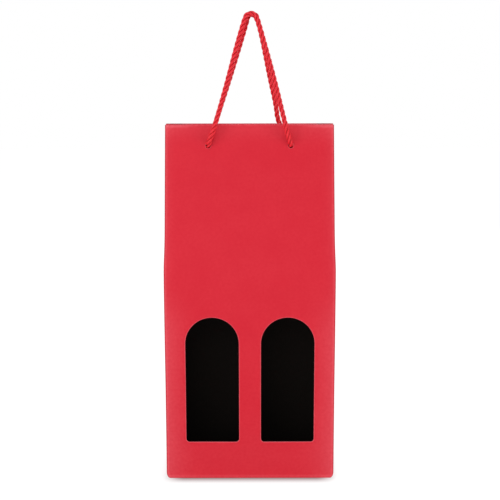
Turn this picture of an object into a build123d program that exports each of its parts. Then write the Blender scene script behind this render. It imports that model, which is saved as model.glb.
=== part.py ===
from build123d import *
import os
from math import acos, asin, atan2, cos, degrees, hypot, pi, radians, sin, tan

# A two-bay carrier box of creased micro-flute board. It is one die-cut blank, folded and glued, with
# a glued divider and two knotted cord handles. The upper panels lean together and the sides fold in
# between them, like the top of a milk carton. Origin at the centre of the base, front towards -Y.

os.makedirs("parts", exist_ok=True)

# Box body
box_width = 180.0  # outside, left to right
box_depth = 90.0  # outside, front to back
wall_height = 225.0  # resting face to the shoulder crease
board = 1.5  # thickness of the micro-flute board
edge_round = 1.2  # outer edge of a folded corner
crease_gap = 0.3  # between two panels that fold on one crease
seam_gap = 0.3  # between pieces that lie edge to edge

# Leaning top
slant_height = 158.5  # shoulder crease to the folded top edge, along the slope
mouth_gap = 16.0  # between the outer faces of the two top edges, as it stands
hem_height = 32.0  # board turned in along the top edge
hem_margin = 18.0  # from the end of the hem to the side of the box
wing_start = 4.0  # lowest point of a wing above the shoulder crease
wing_overlap = 1.8  # how far a wing runs past its crease, to close the fold when it stands open
wing_tip_cut = 7.0  # cut off the wing's tip, so that facing wings pass each other
gusset_inset = 3.6  # from the fold line to the edge of the middle triangle

# Windows
window_width = 56.6
window_height = 136.0  # sill to the crown of the arch
window_sill = 40.5  # above the resting face
window_pitch = 80.0
window_corner = 3.4

# Bottom flaps and divider
side_flap_length = 42.0
side_flap_taper = 13.0
lock_step = 9.0  # how far each long flap passes the middle, and stays short of it
lock_slope = 10.0
glue_flap_width = 16.0
glue_flap_taper = 8.0
divider_height = 190.0
divider_flange = 10.0

# Cord handles
cord_diameter = 5.0
hole_clearance = 0.5  # round the cord in its hole
hole_drop = 23.5  # below the folded top edge, along the slope
cord_standoff = 4.5  # from the outer face to the line that the handle turns on
handle_gap = 0.6  # between the two handles where they lean together
knot_diameter = 9.6
knot_depth = 7.0
knot_bevel = 2.2
knot_sides = 12
knot_clearance = 3.5  # from a knot to the tips of the folded wings
turning_gap = 0.3  # between the end of the cord in the hole and the turning loop

# Values that follow
half_width = box_width / 2
half_depth = box_depth / 2
inner_half_width = half_width - board
inner_half_depth = half_depth - board
cord_radius = cord_diameter / 2

# The lean puts the top edges mouth_gap apart. The wing's fold from the leaning panel then brings its
# free tip to the middle of the box, and the middle triangle leans in to meet that tip.
lean = asin((half_depth - mouth_gap / 2) / slant_height)
tip_depth = (mouth_gap / 2) / cos(lean)
wing_reach = hypot(board, inner_half_depth)
wing_fold = atan2(inner_half_depth, board) - acos((tip_depth - board) / wing_reach)
tip_inset = board + inner_half_depth * cos(wing_fold) - board * sin(wing_fold)
gusset_lean = asin(tip_inset / slant_height)
for name, angle in (("lean", lean), ("wing fold", wing_fold), ("gusset lean", gusset_lean)):
    print(name, round(degrees(angle), 3))

# The knots sit just inside the tips of the folded wings, and the holes sit at the knots
wing_tip = inner_half_depth - wing_tip_cut
wing_tip_x = inner_half_width - wing_tip * cos(wing_fold)
hole_x = wing_tip_x - knot_clearance - knot_diameter / 2
print("hole spacing", round(2 * hole_x, 2))

# Planes on the outer faces: local y runs up the panel and local z points out of the box
front_face = Plane.XZ.offset(half_depth)
right_face = Plane.YZ.offset(half_width)
front_slope = Plane(
    origin=(0, -half_depth, wall_height), x_dir=(1, 0, 0), z_dir=(0, -cos(lean), sin(lean))
)
right_slope = Plane(
    origin=(half_width, 0, wall_height),
    x_dir=(0, 1, 0),
    z_dir=(cos(gusset_lean), 0, sin(gusset_lean)),
)
shoulder = Plane.XY.offset(wall_height + crease_gap)


# Front wall, with its outer edges rounded as the board folds, and two arched windows
with BuildPart() as front_panel:
    with BuildSketch(front_face):
        Rectangle(box_width, wall_height, align=(Align.CENTER, Align.MIN))
    extrude(amount=-board)
    outer_face = front_panel.faces().sort_by(Axis.Y)[0]
    fillet(outer_face.edges().sort_by(Axis.Z)[:-1], radius=edge_round)
    arch_radius = window_width / 2
    arch_base = window_sill + window_height - arch_radius
    with BuildSketch(front_face) as windows:
        with Locations((-window_pitch / 2, 0), (window_pitch / 2, 0)):
            with Locations((0, window_sill)):
                Rectangle(window_width, window_height - arch_radius, align=(Align.CENTER, Align.MIN))
            with Locations((0, arch_base)):
                Circle(arch_radius)
        fillet(windows.vertices().group_by(Axis.Y)[0], radius=window_corner)
    extrude(amount=-board, mode=Mode.SUBTRACT)
front_panel.part.label = "front_panel"
export_step(front_panel.part, "parts/front_panel.step")


# Back wall, plain
with BuildPart() as back_panel:
    with BuildSketch(Plane.XZ.offset(-half_depth)):
        Rectangle(box_width, wall_height, align=(Align.CENTER, Align.MIN))
    extrude(amount=board)
    outer_face = back_panel.faces().sort_by(Axis.Y)[-1]
    fillet(outer_face.edges().sort_by(Axis.Z)[:-1], radius=edge_round)
back_panel.part.label = "back_panel"
export_step(back_panel.part, "parts/back_panel.step")


# Side walls, between the front and the back
with BuildPart() as right_side_panel:
    with BuildSketch(right_face):
        Rectangle(2 * inner_half_depth, wall_height, align=(Align.CENTER, Align.MIN))
    extrude(amount=-board)
    outer_face = right_side_panel.faces().sort_by(Axis.X)[-1]
    fillet(outer_face.edges().sort_by(Axis.Z)[0], radius=edge_round)
right_side_panel.part.label = "right_side_panel"
export_step(right_side_panel.part, "parts/right_side_panel.step")

with BuildPart() as left_side_panel:
    mirror(right_side_panel.part, about=Plane.YZ)
left_side_panel.part.label = "left_side_panel"
export_step(left_side_panel.part, "parts/left_side_panel.step")


# Glue flap: the strip that joins the blank into a tube, inside the back wall at the left corner
with BuildPart() as glue_flap:
    flap_base = 2 * board + seam_gap
    flap_top = wall_height - seam_gap
    with BuildSketch(Plane.XZ.offset(-inner_half_depth)):
        with BuildLine():
            Polyline(
                (-inner_half_width, flap_base),
                (-inner_half_width + glue_flap_width, flap_base + glue_flap_taper),
                (-inner_half_width + glue_flap_width, flap_top - glue_flap_taper),
                (-inner_half_width, flap_top),
                close=True,
            )
        make_face()
    extrude(amount=board)
glue_flap.part.label = "glue_flap"
export_step(glue_flap.part, "parts/glue_flap.step")


# Long bottom flaps. They meet in one layer along a stepped line, where each locks past the middle.
flap_half_width = inner_half_width - seam_gap
flap_half_depth = inner_half_depth - seam_gap
lock_gap = seam_gap / 2
with BuildPart() as bottom_front_flap:
    with BuildSketch(Plane.XY):
        with BuildLine():
            Polyline(
                (-flap_half_width, -flap_half_depth),
                (flap_half_width, -flap_half_depth),
                (flap_half_width, -lock_step - lock_gap),
                (lock_slope - lock_gap, -lock_step - lock_gap),
                (-lock_slope - lock_gap, lock_step - lock_gap),
                (-flap_half_width, lock_step - lock_gap),
                close=True,
            )
        make_face()
    extrude(amount=board)
bottom_front_flap.part.label = "bottom_front_flap"
export_step(bottom_front_flap.part, "parts/bottom_front_flap.step")

half_turn = Location((0, 0, 0), (0, 0, 180))
with BuildPart() as bottom_back_flap:
    add(bottom_front_flap.part.moved(half_turn))
bottom_back_flap.part.label = "bottom_back_flap"
export_step(bottom_back_flap.part, "parts/bottom_back_flap.step")


# Side bottom flaps, on top of the long ones. Each has a corner tab past a crease at 45 degrees,
# which is glued to the long flap under it.
flap_end = flap_half_width - side_flap_length
with BuildPart() as bottom_right_flap:
    with BuildSketch(Plane.XY.offset(board)):
        with BuildLine():
            Polyline(
                (flap_half_width, -flap_half_depth + seam_gap),
                (flap_half_width, flap_half_depth),
                (flap_end, flap_half_depth - side_flap_taper),
                (flap_end, -flap_half_depth + side_flap_length + seam_gap),
                close=True,
            )
        make_face()
    extrude(amount=board)
bottom_right_flap.part.label = "bottom_right_flap"
export_step(bottom_right_flap.part, "parts/bottom_right_flap.step")

with BuildPart() as bottom_right_glue_tab:
    with BuildSketch(Plane.XY.offset(board)):
        with BuildLine():
            Polyline(
                (flap_half_width - seam_gap, -flap_half_depth),
                (flap_end, -flap_half_depth + side_flap_length - seam_gap),
                (flap_end, -flap_half_depth),
                close=True,
            )
        make_face()
    extrude(amount=board)
bottom_right_glue_tab.part.label = "bottom_right_glue_tab"
export_step(bottom_right_glue_tab.part, "parts/bottom_right_glue_tab.step")

with BuildPart() as bottom_left_flap:
    add(bottom_right_flap.part.moved(half_turn))
bottom_left_flap.part.label = "bottom_left_flap"
export_step(bottom_left_flap.part, "parts/bottom_left_flap.step")

with BuildPart() as bottom_left_glue_tab:
    add(bottom_right_glue_tab.part.moved(half_turn))
bottom_left_glue_tab.part.label = "bottom_left_glue_tab"
export_step(bottom_left_glue_tab.part, "parts/bottom_left_glue_tab.step")


# Divider between the two bays: a wall with one flange glued to the front and one to the back
with BuildPart() as divider_wall:
    with BuildSketch(Plane.XY.offset(board)):
        Rectangle(board, 2 * inner_half_depth)
    extrude(amount=divider_height)
divider_wall.part.label = "divider_wall"
export_step(divider_wall.part, "parts/divider_wall.step")

with BuildPart() as divider_front_flange:
    with BuildSketch(Plane.XY.offset(board)):
        with Locations((board / 2, -inner_half_depth)):
            Rectangle(divider_flange, board, align=(Align.MIN, Align.MIN))
    extrude(amount=divider_height)
divider_front_flange.part.label = "divider_front_flange"
export_step(divider_front_flange.part, "parts/divider_front_flange.step")

with BuildPart() as divider_back_flange:
    add(divider_front_flange.part.moved(half_turn))
divider_back_flange.part.label = "divider_back_flange"
export_step(divider_back_flange.part, "parts/divider_back_flange.step")


# Front top panel. Its top and side edges are rounded folds, and its foot is cut level, so that it
# turns on the outer line of the shoulder crease without biting into the wall.
hole_radius = cord_radius + hole_clearance
hole_height = slant_height - hole_drop
hole_places = ((-hole_x, hole_height), (hole_x, hole_height))
outward = Axis(front_slope.origin, front_slope.z_dir)
with BuildPart() as front_top_panel:
    with BuildSketch(front_slope):
        Rectangle(box_width, slant_height, align=(Align.CENTER, Align.MIN))
    extrude(amount=-board)
    outer_face = front_top_panel.faces().sort_by(outward)[-1]
    fillet(outer_face.edges().sort_by(Axis.Z)[1:], radius=edge_round)
    with BuildSketch(front_slope):
        with Locations(*hole_places):
            Circle(hole_radius)
    extrude(amount=-board, mode=Mode.SUBTRACT)
    split(bisect_by=shoulder, keep=Keep.TOP)

# Hem: the board turned in behind the top edge, which doubles it round the cord holes
hem_width = box_width - 2 * hem_margin
with BuildPart() as front_hem:
    with BuildSketch(front_slope.offset(-board)):
        with Locations((0, slant_height)):
            Rectangle(hem_width, hem_height, align=(Align.CENTER, Align.MAX))
    extrude(amount=-board)
    inner_face = front_hem.faces().sort_by(outward)[0]
    fillet(inner_face.edges().sort_by(Axis.Z)[-1], radius=edge_round)
    with BuildSketch(front_slope.offset(-board)):
        with Locations(*hole_places):
            Circle(hole_radius)
    extrude(amount=-board, mode=Mode.SUBTRACT)


# Knots: the end of the cord comes in through its hole and stops in a knot behind the hem
stub_length = cord_standoff - cord_radius - turning_gap
knots = []
for place in hole_places:
    with BuildPart() as knot:
        with BuildSketch(front_slope.offset(-2 * board)):
            with Locations(place):
                RegularPolygon(radius=knot_diameter / 2, side_count=knot_sides)
        extrude(amount=-knot_depth)
        chamfer(knot.faces().sort_by(outward)[0].edges(), length=knot_bevel)
        chamfer(knot.faces().sort_by(outward)[-1].edges(), length=knot_bevel)
        with BuildSketch(front_slope.offset(stub_length)):
            with Locations(place):
                Circle(cord_radius)
        extrude(amount=-(stub_length + 2 * board + knot_depth / 2))
    knots.append(knot.part)


# Wing: the part of the folded side that hangs on the leaning panel's edge. Its plane starts on the
# inner corner line, where it folds, and local x runs inwards along it.
inward = Vector(0, cos(lean), -sin(lean))
wing_x = Vector(-cos(wing_fold), 0, 0) + inward * sin(wing_fold)
wing_z = Vector(sin(wing_fold), 0, 0) + inward * cos(wing_fold)
wing_origin = Vector(inner_half_width, -half_depth, wall_height) + inward * board
wing_plane = Plane(origin=wing_origin, x_dir=wing_x, z_dir=wing_z)
fold_slope = half_depth / slant_height
with BuildPart() as right_front_wing:
    with BuildSketch(wing_plane):
        edge_shift = wing_overlap - board
        with BuildLine():
            Polyline(
                (crease_gap, wing_start),
                (edge_shift + fold_slope * wing_start, wing_start),
                (wing_tip, (wing_tip - edge_shift) / fold_slope),
                (wing_tip, slant_height),
                (crease_gap, slant_height),
                close=True,
            )
        make_face()
    extrude(amount=board)

# Gusset: the middle triangle of the folded side, on the side wall's shoulder crease
with BuildPart() as right_gusset:
    with BuildSketch(right_slope):
        gusset_half = half_depth - gusset_inset
        with BuildLine():
            Polyline(
                (-gusset_half, 0),
                (gusset_half, 0),
                (0, gusset_half / fold_slope),
                close=True,
            )
        make_face()
    extrude(amount=-board)
    split(bisect_by=shoulder, keep=Keep.TOP)


# The top is the same on both sides and, apart from the cords, front and back
top_pieces = {
    "front_top_panel": front_top_panel.part,
    "back_top_panel": mirror(front_top_panel.part, about=Plane.XZ),
    "front_hem": front_hem.part,
    "back_hem": mirror(front_hem.part, about=Plane.XZ),
    "front_left_knot": knots[0],
    "front_right_knot": knots[1],
    "back_left_knot": mirror(knots[0], about=Plane.XZ),
    "back_right_knot": mirror(knots[1], about=Plane.XZ),
    "right_front_wing": right_front_wing.part,
    "right_back_wing": mirror(right_front_wing.part, about=Plane.XZ),
    "left_front_wing": mirror(right_front_wing.part, about=Plane.YZ),
    "left_back_wing": mirror(mirror(right_front_wing.part, about=Plane.XZ), about=Plane.YZ),
    "right_gusset": right_gusset.part,
    "left_gusset": mirror(right_gusset.part, about=Plane.YZ),
}
for name, piece in top_pieces.items():
    piece.label = name
    export_step(piece, f"parts/{name}.step")


# Cord handles. Each route lies in the flat plane of its loop: x, and height above the line through
# the two holes that the handle turns on. The stretches are straight, as the cord is pulled up, and
# the fold at the top is tight.
front_route = [
    (-hole_x, 0),
    (-37.2, 21.5),
    (-24.3, 61.5),
    (-12.9, 100.0),
    (-2.4, 138.4),
    (6.6, 138.4),
    (15.0, 110.5),
    (27.2, 66.0),
    (37.6, 25.0),
    (hole_x, 0),
]
back_route = [
    (-hole_x, 0),
    (-36.6, 23.0),
    (-22.6, 64.0),
    (-10.9, 101.5),
    (-1.8, 137.6),
    (6.9, 137.2),
    (13.8, 111.0),
    (22.6, 69.0),
    (32.4, 25.5),
    (hole_x, 0),
]
arc_share = 0.45  # of the shorter run that an arc may take
turning_point = front_slope.from_local_coords(Vector(0, hole_height, cord_standoff))
loop_height = front_route[4][1]
loop_lean = asin((-turning_point.Y - cord_radius - handle_gap / 2) / loop_height)
print("handle turns at y", round(turning_point.Y, 3), "z", round(turning_point.Z, 3))
print("handle leans", round(degrees(loop_lean), 3))
for name, route, side in (("front_handle", front_route, -1), ("back_handle", back_route, 1)):
    loop_plane = Plane(
        origin=(0, side * abs(turning_point.Y), turning_point.Z),
        x_dir=(1, 0, 0),
        z_dir=(0, -cos(loop_lean), -side * sin(loop_lean)),
    )
    corners = [Vector(*point) for point in route]
    runs = [b - a for a, b in zip(corners, corners[1:])]
    radii = []
    for before, after in zip(runs, runs[1:]):
        half_turn_angle = radians(before.get_angle(after)) / 2
        radii.append(arc_share * min(before.length, after.length) / tan(half_turn_angle))
    print(name, "radii", [round(radius, 1) for radius in radii])
    with BuildPart() as handle:
        with BuildLine(loop_plane) as path:
            FilletPolyline(*route, radius=radii)
        cord_line = path.wires()[0]
        with BuildSketch(Plane(origin=cord_line @ 0, z_dir=cord_line % 0)):
            Circle(cord_radius)
        sweep(path=cord_line)
        tube_volume = handle.part.volume
        with Locations(cord_line @ 0, cord_line @ 1):
            Sphere(cord_radius)
    straight_volume = pi * cord_radius**2 * cord_line.length
    print(name, "length", round(cord_line.length, 1), "volume share", tube_volume / straight_volume)
    handle.part.label = name
    export_step(handle.part, f"parts/{name}.step")
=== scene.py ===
# A two-bay carrier box of red laminated micro-flute board, with arched windows, a folding top and two
# laid cord handles. Everything is in metres in the frame of the solids: X right, Y to the back, Z up.
from math import asin, cos, pi, sin

import bmesh
import bpy
import numpy as np
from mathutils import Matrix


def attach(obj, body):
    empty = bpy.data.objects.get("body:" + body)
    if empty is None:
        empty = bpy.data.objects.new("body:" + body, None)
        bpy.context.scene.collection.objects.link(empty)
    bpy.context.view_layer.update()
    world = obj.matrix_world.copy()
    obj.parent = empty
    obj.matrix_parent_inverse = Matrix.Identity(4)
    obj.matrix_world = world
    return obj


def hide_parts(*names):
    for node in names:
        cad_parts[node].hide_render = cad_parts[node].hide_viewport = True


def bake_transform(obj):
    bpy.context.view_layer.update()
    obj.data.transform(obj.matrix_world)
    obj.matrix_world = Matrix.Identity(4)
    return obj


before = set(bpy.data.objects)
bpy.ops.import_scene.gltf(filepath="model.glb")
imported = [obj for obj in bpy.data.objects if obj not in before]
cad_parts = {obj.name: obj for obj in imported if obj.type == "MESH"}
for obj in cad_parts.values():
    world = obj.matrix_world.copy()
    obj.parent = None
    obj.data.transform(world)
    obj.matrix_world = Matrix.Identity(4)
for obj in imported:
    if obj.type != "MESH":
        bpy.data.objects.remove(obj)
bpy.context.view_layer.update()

mm = 0.001

box = {
    "halfWidth": 90 * mm,
    "halfDepth": 45 * mm,
    "wall": 225 * mm,           # resting face to the shoulder crease
    "slant": 158.5 * mm,        # shoulder crease to the folded top edge
    "halfMouth": 8 * mm,        # from the middle of the box to the outer face of a top edge
    "board": 1.5 * mm,          # micro-flute board with both its liners
    "softCrease": 9 * mm,       # the shoulder bends over this far on each side of its line
    "footRise": 1.2 * mm,       # the foot is rolled under from this height
    "footRoll": 0.5 * mm,       # and by this much
}
board = box["board"]
lean = asin((box["halfDepth"] - box["halfMouth"]) / box["slant"])
flatHalf = box["halfWidth"] - board             # where the flat of a panel ends and its corner fold starts
sheetTop = box["wall"] + box["slant"]           # length of the sheet from its foot to the folded top edge
flatTop = sheetTop - board
innerHalf = 43.5 * mm           # from the middle of the box to the lining of its front and back walls
sheetShift = 0.1                # added to x in the flat sheet's uv, which keeps it above 0


# Small helpers for colours, nodes and meshes
def linearColour(code):
    # sRGB hex to the linear numbers that a colour socket takes, opaque
    share = np.array([int(code[i:i + 2], 16) for i in (1, 3, 5)]) / 255
    linear = np.where(share <= 0.04045, share / 12.92, ((share + 0.055) / 1.055) ** 2.4)
    return (*linear.tolist(), 1.0)


def addNode(tree, kind, inputs=None, **settings):
    # one node with its settings; an input is given a value, or the socket that feeds it
    node = tree.nodes.new(kind)
    for name, value in settings.items():
        setattr(node, name, value)
    for name, value in (inputs or {}).items():
        if isinstance(value, bpy.types.NodeSocket):
            tree.links.new(value, node.inputs[name])
        else:
            node.inputs[name].default_value = value
    return node


def newMaterial(name, fixed):
    # a material with one shader; fixed are the numbers that are the same all over the surface
    material = bpy.data.materials.new(name)
    material.use_nodes = True
    tree = material.node_tree
    tree.nodes.clear()
    shader = addNode(tree, "ShaderNodeBsdfPrincipled", fixed)
    addNode(tree, "ShaderNodeOutputMaterial", {"Surface": shader.outputs[0]})
    return material, tree, shader


def ramp(x, low, high):
    # 0 below low, 1 above high and a smooth step between
    t = np.clip((x - low) / (high - low), 0, 1)
    return t * t * (3 - 2 * t)


def bell(x, at, width):
    # a Gaussian that is 1 at this place and fades over the width
    return np.exp(-((x - at) / width) ** 2)


def stripBetween(first, second, closed=False):
    # quads between two rows of node numbers of equal length
    a, b = (np.append(r, r[0]) if closed else r for r in (first, second))
    return np.stack([a[:-1], a[1:], b[1:], b[:-1]], axis=1)


weld = 0.004 * mm               # nodes closer than this are one


def buildPiece(name, surfaces, materials, sharp=32):
    # One closed mesh from several surfaces. A surface is (points, quads, uv, wear, material number); nodes
    # that meet become one, and the faces are turned outwards. Edges that turn by more than sharp degrees
    # stay sharp.
    starts = np.cumsum([0] + [len(s[0]) for s in surfaces[:-1]])
    points = np.concatenate([s[0] for s in surfaces])
    quads = np.concatenate([s[1] + n for s, n in zip(surfaces, starts)])
    uv = np.concatenate([s[2] for s in surfaces])
    wear = np.concatenate([s[3] for s in surfaces])
    slots = np.concatenate([np.broadcast_to(s[4], len(s[1])) for s in surfaces])
    mesh = bpy.data.meshes.new(name)
    mesh.from_pydata(points.tolist(), [], quads.tolist())
    mesh.uv_layers.new(name="flatSheet").data.foreach_set("uv", uv[quads].astype(np.float32).ravel())
    mesh.attributes.new("foldWearAndPaintedLight", "FLOAT", "POINT").data.foreach_set("value", wear.astype(np.float32))
    mesh.polygons.foreach_set("material_index", slots.astype(np.int32))
    work = bmesh.new()
    work.from_mesh(mesh)
    bmesh.ops.remove_doubles(work, verts=work.verts, dist=weld)
    bmesh.ops.recalc_face_normals(work, faces=work.faces)
    work.to_mesh(mesh)
    work.free()
    for material in materials:
        mesh.materials.append(material)
    mesh.shade_smooth()
    mesh.set_sharp_from_angle(angle=sharp * pi / 180)
    piece = bpy.data.objects.new(name, mesh)
    bpy.context.scene.collection.objects.link(piece)
    return piece


# Materials
filmFinish = {
    "red": "#cf2132",           # printed red under the film
    "cloud": "#d22736",         # where the print lies a little lighter
    "worn": "#e5606b",          # print stretched and whitened along a fold or a die-cut edge, and painted light on the flanks, the top and the foot
    "paintedFoldShade": "#8f1c29",       # painted shade on the round of a corner fold, where the film turns from the light
    "cloudSize": 30 * mm,
    "paperSize": 3.2 * mm,      # formation of the paper, seen as faint mottling
    "flutePitch": 1.6 * mm,     # washboarding of the micro-flute under the liner
    "fluteDepth": 0.004 * mm,
    "toothSize": 0.9 * mm,      # fine grain of the paper, felt through the film
    "toothDepth": 0.006 * mm,
    "roughness": 0.46,
}


def makeFilmBoard():
    # Printed paper under a satin film, glued to micro-flute: a deep even red with a soft wide sheen, faint
    # clouds in the print, upright flute lines that only show in raking light, paler folds and edges that are
    # partly whitened print and partly painted light, and a painted shade line on the round of each corner
    # fold.
    f = filmFinish
    material, tree, shader = newMaterial("satinLaminatedPaper", {
        "Roughness": f["roughness"], "IOR": 1.47, "Specular IOR Level": 0.16})
    sheet = addNode(tree, "ShaderNodeUVMap", uv_map="flatSheet").outputs[0]
    clouds = addNode(tree, "ShaderNodeTexNoise", {
        "Vector": sheet, "Scale": 1 / f["cloudSize"], "Detail": 3.0, "Roughness": 0.55})
    paper = addNode(tree, "ShaderNodeTexNoise", {
        "Vector": sheet, "Scale": 1 / f["paperSize"], "Detail": 2.0, "Roughness": 0.5})
    both = addNode(tree, "ShaderNodeMath", {
        0: clouds.outputs[0], 1: paper.outputs[0]}, operation="MULTIPLY")
    share = addNode(tree, "ShaderNodeMapRange", {
        "Value": both.outputs[0], "From Min": 0.14, "From Max": 0.36})
    printed = addNode(tree, "ShaderNodeMix", {
        0: share.outputs[0], 6: linearColour(f["red"]), 7: linearColour(f["cloud"])}, data_type="RGBA")
    # the attribute holds whitened print along folds and edges, painted light on the flanks, top and foot, and
    # painted shade below 0
    wear = addNode(tree, "ShaderNodeAttribute", attribute_name="foldWearAndPaintedLight")
    uneven = addNode(tree, "ShaderNodeMapRange", {
        "Value": paper.outputs[0], "From Min": 0.3, "From Max": 0.7, "To Min": 0.75, "To Max": 1.1})
    worn = addNode(tree, "ShaderNodeMath", {
        0: wear.outputs["Fac"], 1: uneven.outputs[0]}, operation="MULTIPLY", use_clamp=True)
    colour = addNode(tree, "ShaderNodeMix", {
        0: worn.outputs[0], 6: printed.outputs[2], 7: linearColour(f["worn"])}, data_type="RGBA")
    # wear below 0 is painted shade on the round of a corner fold
    turned = addNode(tree, "ShaderNodeMapRange", {
        "Value": wear.outputs["Fac"], "From Min": -1.0, "From Max": 0.0, "To Min": 1.0, "To Max": 0.0})
    shown = addNode(tree, "ShaderNodeMix", {
        0: turned.outputs[0], 6: colour.outputs[2], 7: linearColour(f["paintedFoldShade"])}, data_type="RGBA")
    tree.links.new(shown.outputs[2], shader.inputs["Base Color"])
    split = addNode(tree, "ShaderNodeSeparateXYZ", {0: sheet})
    phase = addNode(tree, "ShaderNodeMath", {
        0: split.outputs[0], 1: 2 * pi / f["flutePitch"]}, operation="MULTIPLY")
    flute = addNode(tree, "ShaderNodeMath", {0: phase.outputs[0]}, operation="SINE")
    tooth = addNode(tree, "ShaderNodeTexNoise", {"Vector": sheet, "Scale": 1 / f["toothSize"], "Detail": 3.0})
    washboard = addNode(tree, "ShaderNodeBump", {
        "Height": flute.outputs[0], "Distance": f["fluteDepth"], "Strength": 1.0})
    relief = addNode(tree, "ShaderNodeBump", {
        "Height": tooth.outputs[0], "Distance": f["toothDepth"], "Strength": 1.0,
        "Normal": washboard.outputs[0]})
    tree.links.new(relief.outputs[0], shader.inputs["Normal"])
    return material


edgeFinish = {
    "paper": "#d58b90",         # cut liner, stained by the print
    "hollow": "#8e3d43",        # shade inside the flutes
    "pitch": 1.6 * mm,
    "swing": 0.42 * mm,         # height of the flute wave about the middle of the board
    "line": 0.17 * mm,          # half thickness of the fluted paper, drawn a little heavy so that it shows
}


def makeCutEdge():
    # The die-cut edge of micro-flute board: two pale liners with the wave of the fluting between them
    e = edgeFinish
    material, tree, shader = newMaterial("dieCutFluteEdge", {
        "Roughness": 0.8, "IOR": 1.45, "Specular IOR Level": 0.25})
    sheet = addNode(tree, "ShaderNodeUVMap", uv_map="flatSheet").outputs[0]
    split = addNode(tree, "ShaderNodeSeparateXYZ", {0: sheet})
    phase = addNode(tree, "ShaderNodeMath", {
        0: split.outputs[0], 1: 2 * pi / e["pitch"]}, operation="MULTIPLY")
    wave = addNode(tree, "ShaderNodeMath", {0: phase.outputs[0]}, operation="SINE")
    middle = addNode(tree, "ShaderNodeMath", {
        0: wave.outputs[0], 1: e["swing"], 2: board / 2}, operation="MULTIPLY_ADD")
    away = addNode(tree, "ShaderNodeMath", {0: split.outputs[1], 1: middle.outputs[0]}, operation="SUBTRACT")
    far = addNode(tree, "ShaderNodeMath", {0: away.outputs[0]}, operation="ABSOLUTE")
    hollow = addNode(tree, "ShaderNodeMapRange", {
        "Value": far.outputs[0], "From Min": e["line"], "From Max": 2 * e["line"]})
    colour = addNode(tree, "ShaderNodeMix", {
        0: hollow.outputs[0], 6: linearColour(e["paper"]), 7: linearColour(e["hollow"])}, data_type="RGBA")
    tree.links.new(colour.outputs[2], shader.inputs["Base Color"])
    return material


linerFinish = {
    "black": "#181412",
    "dust": "#28221f",
    "fibreSize": 1.5 * mm,
    "fibreDepth": 0.02 * mm,
    "roughness": 0.9,
}


def makeLiner():
    # Black uncoated liner paper inside the box: almost no shine, a dusty fibre fleck
    f = linerFinish
    material, tree, shader = newMaterial("blackUncoatedLiner", {
        "Roughness": f["roughness"], "IOR": 1.45, "Specular IOR Level": 0.15})
    sheet = addNode(tree, "ShaderNodeUVMap", uv_map="flatSheet").outputs[0]
    stretch = addNode(tree, "ShaderNodeMapping", {"Vector": sheet, "Scale": (1.0, 0.3, 1.0)})
    fibre = addNode(tree, "ShaderNodeTexNoise", {
        "Vector": stretch.outputs[0], "Scale": 1 / f["fibreSize"], "Detail": 4.0, "Roughness": 0.65})
    colour = addNode(tree, "ShaderNodeMix", {
        0: fibre.outputs[0], 6: linearColour(f["black"]), 7: linearColour(f["dust"])}, data_type="RGBA")
    tree.links.new(colour.outputs[2], shader.inputs["Base Color"])
    relief = addNode(tree, "ShaderNodeBump", {
        "Height": fibre.outputs[0], "Distance": f["fibreDepth"], "Strength": 1.0})
    tree.links.new(relief.outputs[0], shader.inputs["Normal"])
    return material


yarnFinish = {
    "red": "#ee2634",
    "deep": "#d61a27",          # painted shade between the yarns of a strand
    "paintedGrooveShade": "#c2141f",        # painted shade where two strands press on each other
    "yarnSize": 0.42 * mm,      # width of one yarn on the strand, drawn a little coarse so that it shows
    "yarnDepth": 0.05 * mm,
    "yarnTurn": 0.62,           # radians between a yarn and the strand
    "bandScale": 0.314,         # scale of a wave texture whose bands are 1 m apart
    "fuzzSize": 1.1 * mm,
    "roughness": 0.5,
}


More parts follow.
